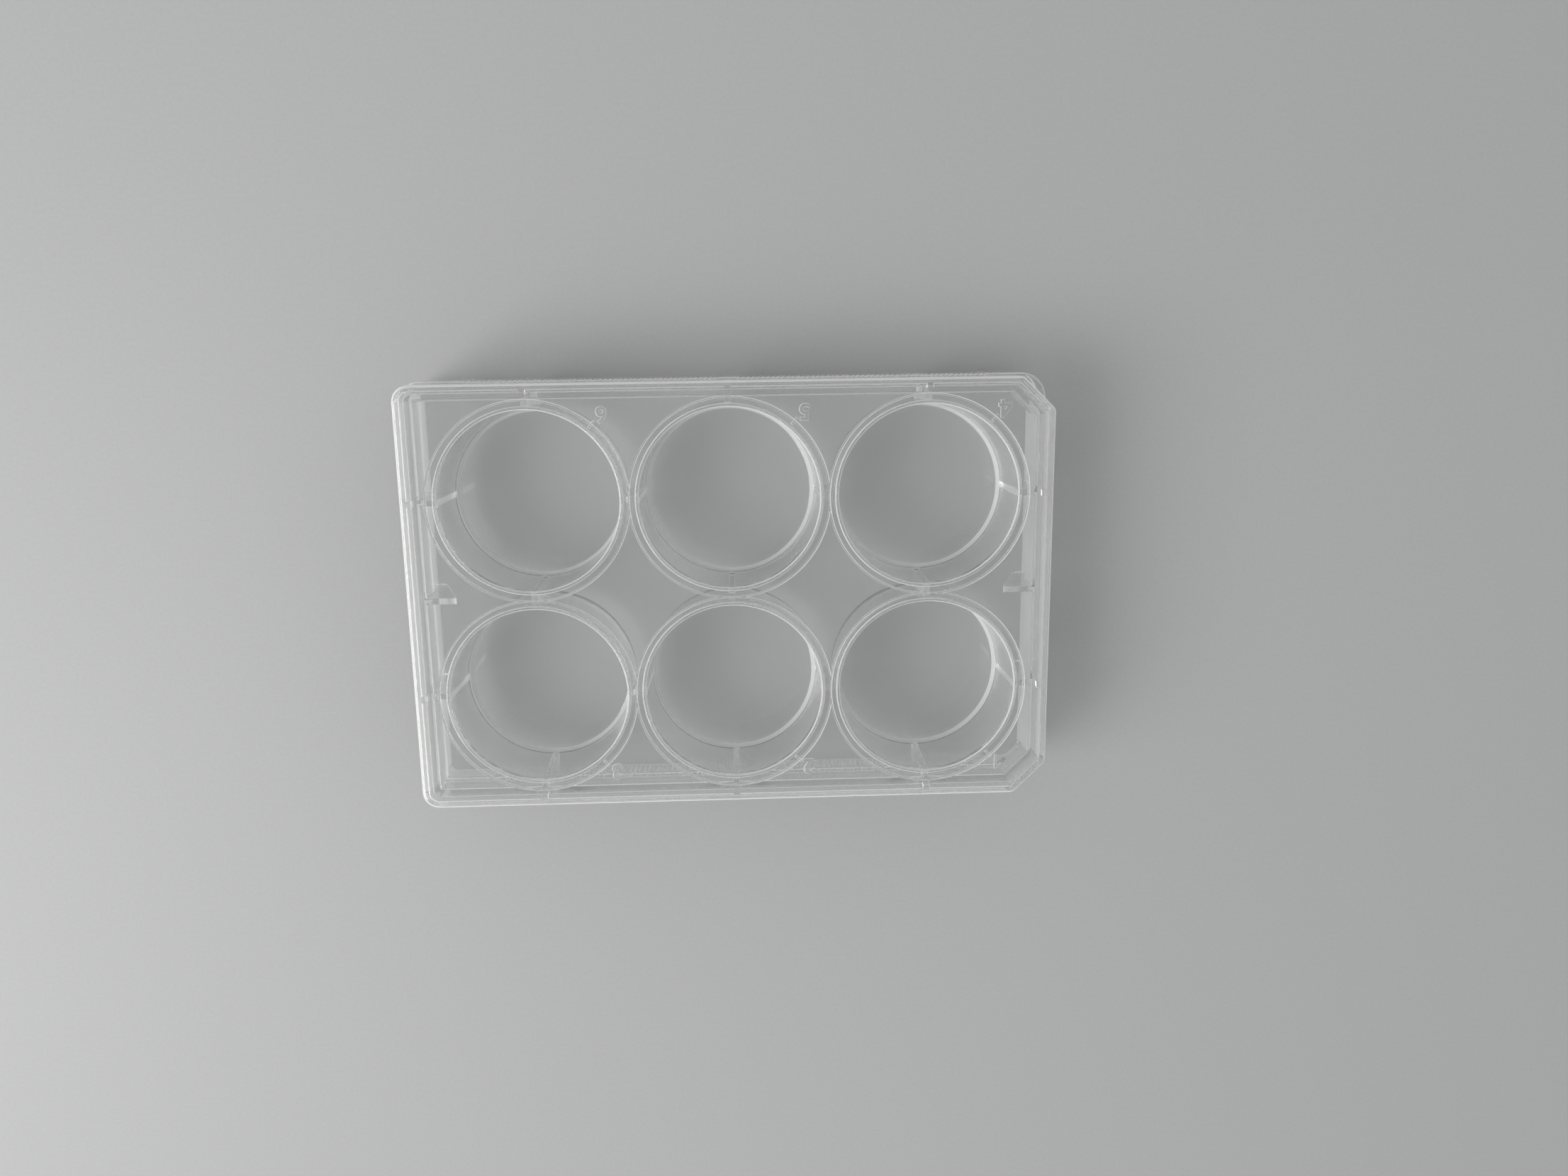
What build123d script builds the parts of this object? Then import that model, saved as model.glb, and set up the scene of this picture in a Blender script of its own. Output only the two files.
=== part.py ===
from build123d import *
from math import sqrt
import os

# A six-well culture plate: an injection-moulded tray and the lid that rests on it.
#
# Millimetres, +Z up, origin on the table under the middle of the tray. X runs along
# the plate's length, from the two keyed (cut-off) corners at -X to the square ones.

# The plate is sized from its wells outward: the gaps between and around the wells are
# named, and the footprint and the heights add up from them.

# ---------------------------------------------------------------- wells
WELL_COLUMNS = 3
WELL_ROWS = 2
WELL_RADIUS = 17.7
WELL_WALL = 0.8
WELL_GAP = 2.12  # between the walls of two neighbouring wells
WELL_DEPTH = 16.7
WELL_FLOOR = 1.3
WELL_FLOOR_BEVEL = 0.7  # inside, where the wall meets the floor
WELL_FOOT_HEIGHT = 2.1  # from the table to the underside of a well
LIP_HEIGHT = 0.7  # how far each well's wall stands up above the deck

# ---------------------------------------------------------------- flange
FLANGE_HEIGHT = 12.0
FLANGE_WALL = 1.3
KEYED_END_RADIUS = 5.0
PLAIN_END_RADIUS = 2.8
LEDGE_WIDTH = 1.98  # how far the upper wall stands in from the flange
LEDGE_THICKNESS = 1.3
LEDGE_EDGE_BEVEL = 0.3

# ---------------------------------------------------------------- upper wall and deck
END_GAP = 2.98  # from the end wells to the inside of the upper wall
SIDE_GAP = 1.4  # from the side wells to the inside of the upper wall
DECK_THICKNESS = 1.2
UPPER_WALL = 1.3
KEY_LEG = 5.5  # leg of the 45 degree cut at each keyed corner
KEY_OUTER_ROUND = 1.4  # where the cut meets the sides, outside
KEY_INNER_ROUND = 0.4
CORNER_RADIUS = 1.7
DECK_EDGE_BEVEL = 0.2

# ---------------------------------------------------------------- ribs under the deck
RIB_THICKNESS = 1.2
RIB_FOOT_RISE = 0.9  # from the underside of the wells to the foot of the ribs
GUSSET_TOP_REACH = 6.1  # from the inside of the upper wall, along the deck
GUSSET_FOOT_REACH = 2.6  # from the inside of the flange wall
GUSSET_TIP_ROUND = 1.0

# ---------------------------------------------------------------- finger grips
GRIP_PITCH = 1.0
GRIP_DEPTH = 0.25
GRIP_FLANK = 0.3  # width of a ridge's sloping flank
GRIP_SKIN = 0.02  # how far the crests stay under the flange's plain face
GRIP_END_MARGIN = 11.58  # plain wall left at each end of a long side
GRIP_MIDDLE_GAP = 3.5

# ---------------------------------------------------------------- lid
LID_CLEARANCE = 0.5
LID_SKIRT = 1.1
LID_PANEL = 1.2
LID_EDGE_BEVEL = 0.4
LID_RIM_GAP = 0.4  # between the foot of the skirt and the flange's ledge
LID_LIP_GAP = 0.7  # between the wells' lips and the underside of the panel
SPACER_THICKNESS = 1.25
SPACER_OVERLAP = 0.5  # how far each spacer reaches in over the deck
RING_CLEARANCE = 0.9  # between a well's lip and the ring that hangs round it
RING_WALL = 0.45
RING_DEPTH = 0.7

# ---------------------------------------------------------------- levels
FLOOR_LEVEL = WELL_FOOT_HEIGHT + WELL_FLOOR
LIP_LEVEL = FLOOR_LEVEL + WELL_DEPTH
DECK_HEIGHT = LIP_LEVEL - LIP_HEIGHT
DECK_UNDERSIDE = DECK_HEIGHT - DECK_THICKNESS
LEDGE_UNDERSIDE = FLANGE_HEIGHT - LEDGE_THICKNESS
RIB_FOOT_HEIGHT = WELL_FOOT_HEIGHT + RIB_FOOT_RISE
LID_SEAT_HEIGHT = LIP_HEIGHT + LID_LIP_GAP
PANEL_UNDERSIDE = DECK_HEIGHT + LID_SEAT_HEIGHT
LID_TOP = PANEL_UNDERSIDE + LID_PANEL
SKIRT_FOOT = FLANGE_HEIGHT + LID_RIM_GAP

# ---------------------------------------------------------------- plan
WELL_OUTSIDE = WELL_RADIUS + WELL_WALL
WELL_PITCH = 2 * WELL_OUTSIDE + WELL_GAP  # the standard 39.12
WELLS_LENGTH = WELL_PITCH * (WELL_COLUMNS - 1) + 2 * WELL_OUTSIDE
WELLS_WIDTH = WELL_PITCH * (WELL_ROWS - 1) + 2 * WELL_OUTSIDE
UPPER_LENGTH = WELLS_LENGTH + 2 * (END_GAP + UPPER_WALL)
UPPER_WIDTH = WELLS_WIDTH + 2 * (SIDE_GAP + UPPER_WALL)
FOOTPRINT_LENGTH = UPPER_LENGTH + 2 * LEDGE_WIDTH  # the standard 127.76
FOOTPRINT_WIDTH = UPPER_WIDTH + 2 * LEDGE_WIDTH  # the standard 85.48


def well_places():
    """The six well axes, as locations on the table plane."""
    return GridLocations(WELL_PITCH, WELL_PITCH, WELL_COLUMNS, WELL_ROWS)


def column_positions():
    """X of each column of wells."""
    return [WELL_PITCH * (i - (WELL_COLUMNS - 1) / 2) for i in range(WELL_COLUMNS)]


def row_positions():
    """Y of each row of wells."""
    return [WELL_PITCH * (i - (WELL_ROWS - 1) / 2) for i in range(WELL_ROWS)]


def flange_outline(inset):
    """The flange's outline, with its two corner radii, moved in by inset."""
    length = FOOTPRINT_LENGTH - 2 * inset
    width = FOOTPRINT_WIDTH - 2 * inset
    outline = Rectangle(length, width)
    ends = outline.vertices().group_by(Axis.X)
    outline = fillet(ends[0], KEYED_END_RADIUS - inset)
    ends = outline.vertices().group_by(Axis.X)
    return fillet(ends[-1], PLAIN_END_RADIUS - inset)


def keyed_outline(grow, key_round):
    """The upper wall's outline, moved out by grow, with key_round at the ends of each cut."""
    length = UPPER_LENGTH + 2 * grow
    width = UPPER_WIDTH + 2 * grow
    leg = KEY_LEG + grow * (2 - sqrt(2))
    outline = Rectangle(length, width)
    outline = fillet(outline.vertices().group_by(Axis.X)[-1], CORNER_RADIUS + grow)
    outline = chamfer(outline.vertices().group_by(Axis.X)[0], leg)
    end, sides = outline.vertices().group_by(Axis.X)[:2]
    return fillet(end + sides, key_round)


def slab(outline, low, high):
    """An outline extruded between two levels."""
    return Pos(0, 0, low) * extrude(outline, high - low)


def edges_at(part, level):
    """The edges of a part that lie in one level."""
    return part.edges().filter_by_position(Axis.Z, level, level)


def frame_block():
    """The tray's outer form, filled: the flange, and the keyed block that stands on it."""
    flange = slab(flange_outline(0), 0, FLANGE_HEIGHT)
    flange = chamfer(edges_at(flange, FLANGE_HEIGHT), LEDGE_EDGE_BEVEL)
    upper = slab(keyed_outline(0, KEY_OUTER_ROUND), 0, DECK_HEIGHT)
    upper = chamfer(edges_at(upper, DECK_HEIGHT), DECK_EDGE_BEVEL)
    return flange + upper


def frame_hollow():
    """The open underside: wide inside the flange, and keyed inside the upper wall."""
    wide = slab(flange_outline(FLANGE_WALL), 0, LEDGE_UNDERSIDE)
    keyed = slab(keyed_outline(-UPPER_WALL, KEY_INNER_ROUND), 0, DECK_UNDERSIDE)
    return wide + keyed


def rib(length, width, x, y):
    """One upright rib, from its foot into the deck."""
    height = DECK_UNDERSIDE + DECK_THICKNESS / 2 - RIB_FOOT_HEIGHT
    middle = RIB_FOOT_HEIGHT + height / 2
    return Pos(x, y, middle) * Box(length, width, height)


def rib_grid():
    """Ribs along every row and column of wells, from wall to wall."""
    along = [rib(FOOTPRINT_LENGTH, RIB_THICKNESS, 0, y) for y in row_positions()]
    across = [rib(RIB_THICKNESS, FOOTPRINT_WIDTH, x, 0) for x in column_positions()]
    return along + across


def gusset(side):
    """The slanting gusset on the middle of one short side, side being -1 or 1."""
    wall = FOOTPRINT_LENGTH / 2 - FLANGE_WALL / 2
    top = UPPER_LENGTH / 2 - UPPER_WALL - GUSSET_TOP_REACH
    foot = FOOTPRINT_LENGTH / 2 - FLANGE_WALL - GUSSET_FOOT_REACH
    into_deck = DECK_UNDERSIDE + DECK_THICKNESS / 2
    corners = [
        (wall, RIB_FOOT_HEIGHT),
        (foot, RIB_FOOT_HEIGHT),
        (top, DECK_UNDERSIDE),
        (top, into_deck),
        (wall, into_deck),
    ]
    face = make_face(Polyline(*corners, close=True))
    tip = face.vertices().sort_by_distance((foot, RIB_FOOT_HEIGHT, 0))[0]
    face = fillet(tip, GUSSET_TIP_ROUND)
    plate = extrude(Plane.XZ * face, RIB_THICKNESS / 2, both=True)
    return plate if side > 0 else mirror(plate, Plane.YZ)


def well_cup():
    """One well's wall, floor and raised lip, turned about its axis."""
    points = [
        (0, WELL_FOOT_HEIGHT),
        (WELL_OUTSIDE, WELL_FOOT_HEIGHT),
        (WELL_OUTSIDE, LIP_LEVEL),
        (WELL_RADIUS, LIP_LEVEL),
        (WELL_RADIUS, FLOOR_LEVEL + WELL_FLOOR_BEVEL),
        (WELL_RADIUS - WELL_FLOOR_BEVEL, FLOOR_LEVEL),
        (0, FLOOR_LEVEL),
    ]
    section = make_face(Polyline(*points, close=True))
    return revolve(Plane.XZ * section, Axis.Z)


def well_core():
    """What a well clears out of the deck and the ribs, up to the middle of its wall."""
    low = FLOOR_LEVEL - WELL_FLOOR / 2
    radius = WELL_RADIUS + WELL_WALL / 2
    return Pos(0, 0, low) * extrude(Circle(radius), LIP_LEVEL - low)


def grip_cutter(start, end):
    """The waste between two places on a long side, cut into upright ridges.

    The ridges run up the whole flange. Their crests lie just under its plain face.
    """
    count = round((end - start) / GRIP_PITCH)
    pitch = (end - start) / count
    face_y = FOOTPRINT_WIDTH / 2
    crest = face_y - GRIP_SKIN
    valley = face_y - GRIP_DEPTH
    outside = face_y + GRIP_DEPTH
    points = [(start, outside), (start, valley)]
    for i in range(count):
        left = start + i * pitch
        points.append((left + GRIP_FLANK, crest))
        points.append((left + pitch - GRIP_FLANK, crest))
        points.append((left + pitch, valley))
    points.append((end, outside))
    return slab(make_face(Polyline(*points, close=True)), 0, FLANGE_HEIGHT)


def grip_cutters():
    """The four runs of finger grips, two on each long side."""
    end = FOOTPRINT_LENGTH / 2 - GRIP_END_MARGIN
    start = GRIP_MIDDLE_GAP / 2
    back = [grip_cutter(start, end), grip_cutter(-end, -start)]
    front = [mirror(run, Plane.XZ) for run in back]
    return back + front


def plate_base():
    """The tray: a stepped, keyed frame with a deck, six wells and the ribs that tie them."""
    block = frame_block()
    inside = [*rib_grid(), gusset(-1), gusset(1)]
    ribs = (Part() + inside) & block
    tray = block - frame_hollow() + ribs
    tray -= [place * well_core() for place in well_places()]
    tray += [place * well_cup() for place in well_places()]
    return tray - grip_cutters()


def spacers():
    """Short webs in the lid's inner corner, over the ribs, that hold it up off the deck."""
    height = LID_SEAT_HEIGHT + LID_PANEL / 2
    middle = DECK_HEIGHT + height / 2
    reach = SPACER_OVERLAP + LID_CLEARANCE + LID_SKIRT / 2
    long_y = UPPER_WIDTH / 2 - SPACER_OVERLAP + reach / 2
    short_x = UPPER_LENGTH / 2 - SPACER_OVERLAP + reach / 2
    on_long = [
        Pos(x, side * long_y, middle) * Box(SPACER_THICKNESS, reach, height)
        for x in column_positions()
        for side in (-1, 1)
    ]
    on_short = [
        Pos(side * short_x, y, middle) * Box(reach, SPACER_THICKNESS, height)
        for y in row_positions()
        for side in (-1, 1)
    ]
    return on_long + on_short


def condensation_rings():
    """The low rings under the panel, one round each well, joined where they meet."""
    inner = WELL_OUTSIDE + RING_CLEARANCE
    outer = inner + RING_WALL
    discs = Sketch() + [place * Circle(outer) for place in well_places()]
    holes = Sketch() + [place * Circle(inner) for place in well_places()]
    low = PANEL_UNDERSIDE - RING_DEPTH
    return slab(discs - holes, low, PANEL_UNDERSIDE + LID_PANEL / 2)


def lid():
    """The lid: a keyed panel and skirt, its spacers and its condensation rings."""
    outside = keyed_outline(LID_CLEARANCE + LID_SKIRT, KEY_OUTER_ROUND)
    inside = keyed_outline(LID_CLEARANCE, KEY_INNER_ROUND)
    body = slab(outside, SKIRT_FOOT, LID_TOP)
    body = chamfer(edges_at(body, LID_TOP), LID_EDGE_BEVEL)
    body -= slab(inside, SKIRT_FOOT, PANEL_UNDERSIDE)
    return body + spacers() + condensation_rings()


def main():
    os.makedirs("parts", exist_ok=True)
    export_step(plate_base(), "parts/plate_base.step")
    export_step(lid(), "parts/lid.step")


main()
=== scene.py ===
"""A clear six-well culture plate under its lid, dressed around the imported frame.

The tray and the lid are each one moulding in clear polystyrene, so each is built here as
one closed, finely rounded mesh that stands for its CAD node. Everything is in metres, in
the frame's own axes: X along the plate from its two cut-off corners, Z up from the table.
"""

from __future__ import annotations

import logging
import math
from dataclasses import dataclass, field
from enum import Enum
from typing import ClassVar, Iterable, Sequence

import bmesh
import bpy
from mathutils import Matrix, Vector

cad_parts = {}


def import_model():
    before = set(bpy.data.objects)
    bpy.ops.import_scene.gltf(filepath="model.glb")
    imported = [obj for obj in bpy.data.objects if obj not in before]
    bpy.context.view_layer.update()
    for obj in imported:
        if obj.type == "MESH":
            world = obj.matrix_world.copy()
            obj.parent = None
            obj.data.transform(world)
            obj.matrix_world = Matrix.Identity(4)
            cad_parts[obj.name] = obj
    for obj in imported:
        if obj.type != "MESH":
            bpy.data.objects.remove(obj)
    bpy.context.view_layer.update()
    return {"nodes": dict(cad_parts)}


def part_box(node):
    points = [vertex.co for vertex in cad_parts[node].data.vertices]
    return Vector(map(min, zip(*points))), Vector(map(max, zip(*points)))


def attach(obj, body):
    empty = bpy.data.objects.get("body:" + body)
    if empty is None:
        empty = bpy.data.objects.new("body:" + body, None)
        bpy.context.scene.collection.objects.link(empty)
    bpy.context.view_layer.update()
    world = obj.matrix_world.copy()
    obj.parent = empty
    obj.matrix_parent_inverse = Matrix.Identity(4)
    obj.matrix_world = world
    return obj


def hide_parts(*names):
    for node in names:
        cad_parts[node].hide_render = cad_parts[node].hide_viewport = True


log = logging.getLogger("well_plate")

MM = 0.001
BODY = "root"
TINY_ROUND = 0.3 * MM  # the least radius of a rounded corner that is moved in
ARC_STEP = math.radians(15.0)  # the largest angle between two points of an arc
STEP_SLACK = 0.01  # so that equal corners get equal counts of points
STRAIGHT_WITHIN = math.radians(0.5)
EDGE_FACETS = 6
RUN_PAST = 1.0 * MM  # how far a cut runs past what it opens
SMOOTH_UNDER = math.radians(32.0)
LEVEL_WITHIN = 0.0005 * MM
WELD = 0.001 * MM

Point = tuple[float, float]
Socket = bpy.types.NodeSocket


class Join(Enum):
    """How one closed form is combined with another."""

    ADD = "UNION"
    CUT = "DIFFERENCE"


class End(Enum):
    """The two ends of the plate, by the sign of X."""

    KEYED = -1
    SQUARE = 1


class Sum(Enum):
    """The sums that the node trees work out."""

    SIZE = "ABSOLUTE"
    GREATEST = "MAXIMUM"


@dataclass(frozen=True)
class Corner:
    """One corner of a path in a plane, with the radius it is rounded to."""

    a: float
    b: float
    radius: float = 0.0


def arc_between(start: Corner, corner: Corner, end: Corner) -> list[Point]:
    """Rounds one corner of a path.

    Args:
        start: The corner before it.
        corner: The corner to round.
        end: The corner after it.

    Returns:
        The points of the arc, or the corner alone if it has no radius.
    """
    here = Vector((corner.a, corner.b))
    back = (Vector((start.a, start.b)) - here).normalized()
    ahead = (Vector((end.a, end.b)) - here).normalized()
    turn = math.pi - back.angle(ahead)
    if corner.radius <= 0 or turn < STRAIGHT_WITHIN:
        return [(corner.a, corner.b)]
    reach = corner.radius * math.tan(turn / 2)
    towards = (back + ahead).normalized()
    centre = here + towards * (corner.radius / math.cos(turn / 2))
    first = here + back * reach - centre
    side = 1.0 if back.x * ahead.y - back.y * ahead.x < 0 else -1.0
    count = max(2, math.ceil(turn / ARC_STEP - STEP_SLACK))
    angles = [side * turn * i / count for i in range(count + 1)]
    return [tuple(centre + Matrix.Rotation(angle, 2) @ first) for angle in angles]


def rounded_path(corners: Sequence[Corner], closed: bool) -> list[Point]:
    """Turns corners into a path whose rounded corners are arcs.

    Args:
        corners: The corners in order.
        closed: Whether the last corner joins the first.

    Returns:
        The path's points in order.
    """
    points: list[Point] = []
    last = len(corners) - 1
    for i, corner in enumerate(corners):
        if closed or 0 < i < last:
            points += arc_between(corners[i - 1], corner, corners[(i + 1) % len(corners)])
        else:
            points.append((corner.a, corner.b))
    return points


@dataclass
class Form:
    """A closed form as plain vertices and faces, before it becomes an object."""

    vertices: list[Vector] = field(default_factory=list)
    faces: list[list[int]] = field(default_factory=list)

    @staticmethod
    def lofted(loops: Sequence[Sequence[Vector]]) -> "Form":
        """Skins a stack of loops of equal length and caps both ends.

        Args:
            loops: Loops that run counter-clockwise seen from above.

        Returns:
            The closed form.
        """
        count = len(loops[0])
        form = Form([v for loop in loops for v in loop])
        for k in range(len(loops) - 1):
            low, high = k * count, (k + 1) * count
            for i in range(count):
                j = (i + 1) % count
                form.faces.append([low + i, low + j, high + j, high + i])
        form.faces.append(list(range(count))[::-1])
        top = (len(loops) - 1) * count
        form.faces.append([top + i for i in range(count)])
        return form

    @staticmethod
    def turned(profile: Sequence[Point], steps: int) -> "Form":
        """Turns a profile about the Z axis.

        Args:
            profile: (radius, height) points. The first and last lie on the axis.
            steps: How many steps make the full turn.

        Returns:
            The closed form.
        """
        form = Form([Vector((0, 0, profile[0][1]))])
        rings = profile[1:-1]
        angles = [2 * math.pi * i / steps for i in range(steps)]
        for radius, height in rings:
            around = [(radius * math.cos(angle), radius * math.sin(angle)) for angle in angles]
            form.vertices += [Vector((x, y, height)) for x, y in around]
        form.vertices.append(Vector((0, 0, profile[-1][1])))
        end = len(form.vertices) - 1
        last = 1 + (len(rings) - 1) * steps
        for i in range(steps):
            j = (i + 1) % steps
            form.faces.append([0, 1 + j, 1 + i])
            for k in range(len(rings) - 1):
                low, high = 1 + k * steps, 1 + (k + 1) * steps
                form.faces.append([low + i, low + j, high + j, high + i])
            form.faces.append([last + i, last + j, end])
        return form

    @staticmethod
    def prism(outline: Sequence[Point], low: float, high: float) -> "Form":
        """Draws an outline in the XY plane out between two heights."""
        return Form.lofted([[Vector((x, y, z)) for x, y in outline] for z in (low, high)])

    @staticmethod
    def block(low: Sequence[float], high: Sequence[float]) -> "Form":
        """Makes a straight block between two corners."""
        outline = [(low[0], low[1]), (high[0], low[1]), (high[0], high[1]), (low[0], high[1])]
        return Form.prism(outline, low[2], high[2])

    @staticmethod
    def together(forms: Iterable["Form"]) -> "Form":
        """Gathers forms that don't touch.

        Args:
            forms: The forms.

        Returns:
            All of them as one form.
        """
        whole = Form()
        for form in forms:
            start = len(whole.vertices)
            whole.vertices += form.vertices
            whole.faces += [[start + i for i in face] for face in form.faces]
        return whole

    @staticmethod
    def taken_back(made: bpy.types.Object) -> "Form":
        """Turns an object back into a form, and clears the object away.

        Args:
            made: The object.

        Returns:
            Its form.
        """
        mesh = made.data
        form = Form([v.co.copy() for v in mesh.vertices], [list(p.vertices) for p in mesh.polygons])
        discard(made)
        return form

    def placed(self, matrix: Matrix) -> "Form":
        """A copy of the form moved by a matrix that keeps its handedness."""
        return Form([matrix @ v for v in self.vertices], [list(f) for f in self.faces])

    def at(self, x: float, y: float) -> "Form":
        """A copy of the form moved across the table."""
        return self.placed(Matrix.Translation((x, y, 0)))

    def to_object(self, name: str) -> bpy.types.Object:
        """Makes the form a Blender object in the scene.

        Args:
            name: The object's name.

        Returns:
            The new object.
        """
        mesh = bpy.data.meshes.new(name)
        mesh.from_pydata([tuple(v) for v in self.vertices], [], self.faces)
        mesh.validate()
        made = bpy.data.objects.new(name, mesh)
        bpy.context.scene.collection.objects.link(made)
        return made


def discard(made: bpy.types.Object) -> None:
    """Clears an object and its mesh away.

    Args:
        made: The object.
    """
    spent = made.data
    bpy.data.objects.remove(made)
    bpy.data.meshes.remove(spent)


def settle(target: bpy.types.Object, modifier: bpy.types.Modifier) -> None:
    """Applies one modifier to an object's mesh.

    Args:
        target: The object.
        modifier: Its only modifier.
    """
    graph = bpy.context.evaluated_depsgraph_get()
    done = bpy.data.meshes.new_from_object(target.evaluated_get(graph))
    target.modifiers.remove(modifier)
    old = target.data
    target.data = done
    bpy.data.meshes.remove(old)
    done.name = target.name


def combine(name: str, base: Form, steps: Sequence[tuple[Join, Form]]) -> bpy.types.Object:
    """Builds one solid from closed forms.

    Args:
        name: The solid's name.
        base: The form to start from.
        steps: What to add or cut, in order.

    Returns:
        The solid as an object in the scene.
    """
    solid = base.to_object(name)
    for join, form in steps:
        tool = form.to_object(name + "_tool")
        modifier = solid.modifiers.new("join", "BOOLEAN")
        modifier.operation = join.value
        modifier.solver = "MANIFOLD"
        modifier.object = tool
        settle(solid, modifier)
        discard(tool)
    return solid


def is_level(face: bmesh.types.BMFace) -> bool:
    """Whether a face lies level, judged by its corners, so that slivers count too."""
    heights = [v.co.z for v in face.verts]
    return max(heights) - min(heights) < LEVEL_WITHIN


def smooth(solid: bpy.types.Object) -> None:
    """Shades a solid's curves smooth, and keeps its flats and hard edges crisp.

    Args:
        solid: The solid to shade.
    """
    work = bmesh.new()
    work.from_mesh(solid.data)
    bmesh.ops.remove_doubles(work, verts=work.verts, dist=2 * WELD)
    bmesh.ops.dissolve_degenerate(work, edges=work.edges, dist=WELD)
    for face in work.faces:
        face.smooth = True
    for edge in work.edges:
        flush = all(is_level(face) for face in edge.link_faces)
        edge.smooth = flush or edge.calc_face_angle(math.pi) < SMOOTH_UNDER
    work.to_mesh(solid.data)
    work.free()
    modifier = solid.modifiers.new("normals", "WEIGHTED_NORMAL")
    modifier.keep_sharp = True
    modifier.weight = 100
    settle(solid, modifier)


def top_round(inset: float, height: float, radius: float) -> list[Point]:
    """Rounds an upper edge from its wall to its flat.

    Args:
        inset: How far the wall stands in.
        height: Height of the flat.
        radius: The edge's radius.

    Returns:
        The round's (inset, height) points.
    """
    angles = [math.pi / 2 * i / EDGE_FACETS for i in range(EDGE_FACETS + 1)]
    return [
        (inset + radius * (1 - math.cos(a)), height - radius * (1 - math.sin(a))) for a in angles
    ]


@dataclass(frozen=True)
class Outline:
    """An outline in plan that can be moved in and stacked up."""

    half_length: float
    half_width: float

    def corners(self, inset: float) -> list[Corner]:
        """Lists the corners of the outline moved in by inset, counter-clockwise."""
        raise NotImplementedError

    def loop(self, inset: float, height: float) -> list[Vector]:
        """Draws the outline at one height, with as many points for every inset."""
        path = rounded_path(self.corners(inset), closed=True)
        return [Vector((a, b, height)) for a, b in path]

    def stack(self, section: Sequence[Point]) -> Form:
        """Lofts the outline along a section of (inset, height) points."""
        return Form.lofted([self.loop(inset, height) for inset, height in section])


@dataclass(frozen=True)
class KeyedOutline(Outline):
    """A rectangle with the two corners at its keyed end cut off at 45 degrees."""

    key_leg: float
    key_round: float
    corner_round: float

    def corners(self, inset: float) -> list[Corner]:
        """Lists the corners of the outline moved in by inset, counter-clockwise.

        Args:
            inset: How far the outline moves in.

        Returns:
            The six corners.
        """
        x = self.half_length - inset
        y = self.half_width - inset
        leg = self.key_leg - inset * (2 - math.sqrt(2))
        key = max(self.key_round - inset, TINY_ROUND)
        plain = max(self.corner_round - inset, TINY_ROUND)
        return [
            Corner(x, -y, plain),
            Corner(x, y, plain),
            Corner(-x + leg, y, key),
            Corner(-x, y - leg, key),
            Corner(-x, -y + leg, key),
            Corner(-x + leg, -y, key),
        ]


@dataclass(frozen=True)
class GripRun:
    """The upright ridges moulded into a long side of the flange, for the fingers."""

    half_run: float = 52.3 * MM
    middle_gap: float = 3.5 * MM
    pitch: float = 1.0 * MM
    depth: float = 0.25 * MM
    skin: float = 0.02 * MM
    facets: int = 6

    def points(self, face: float) -> list[Point]:
        """Runs along a side that faces +Y, from +X to -X.

        Args:
            face: Y of the side's plain face.

        Returns:
            The scalloped line's points.
        """
        half_gap = self.middle_gap / 2
        count = round((self.half_run - half_gap) / self.pitch)
        pitch = (self.half_run - half_gap) / count
        valley = face - self.depth
        rise = self.depth - self.skin
        radius = (rise * rise + pitch * pitch / 4) / (2 * rise)
        line: list[Point] = []
        for start in (self.half_run, -half_gap):
            line.append((start, face))
            for i in range(count):
                line.append((start - i * pitch, valley))
                for k in range(1, self.facets):
                    across = (k / self.facets - 0.5) * pitch
                    height = math.sqrt(radius * radius - across * across) - (radius - rise)
                    line.append((start - (i + k / self.facets) * pitch, valley + height))
            line.append((start - count * pitch, valley))
            line.append((start - count * pitch, face))
        return line


@dataclass(frozen=True)
class FlangeOutline(Outline):
    """The foot flange's outline, rounder at its keyed end, with or without its grips."""

    keyed_round: float = 5.0 * MM
    square_round: float = 2.8 * MM
    grips: GripRun | None = None

    def corners(self, inset: float) -> list[Corner]:
        """Lists the corners of the outline moved in by inset, counter-clockwise.

        Args:
            inset: How far the outline moves in.

        Returns:
            The four corners, with the grips' points between them.
        """
        x = self.half_length - inset
        y = self.half_width - inset
        keyed = max(self.keyed_round - inset, TINY_ROUND)
        square = max(self.square_round - inset, TINY_ROUND)
        back = self.grips.points(y) if self.grips else []
        upper = [Corner(a, b) for a, b in back]
        lower = [Corner(-a, -b) for a, b in back]
        corners = [Corner(x, -y, square), Corner(x, y, square), *upper]
        return corners + [Corner(-x, y, keyed), Corner(-x, -y, keyed), *lower]


@dataclass(frozen=True)
class WellGrid:
    """Where the six wells stand."""

    pitch: float = 39.12 * MM
    columns: int = 3
    rows: int = 2

    def places(self, count: int) -> list[float]:
        """Sets a count of places one pitch apart, evenly about the middle."""
        return [self.pitch * (i - (count - 1) / 2) for i in range(count)]

    @property
    def xs(self) -> list[float]:
        """X of each column, from the keyed end."""
        return self.places(self.columns)

    @property
    def ys(self) -> list[float]:
        """Y of each row, from the lower one."""
        return self.places(self.rows)

    def spread(self, form: Form) -> Form:
        """One copy of a form at each well."""
        return Form.together(form.at(x, y) for x in self.xs for y in self.ys)


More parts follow.
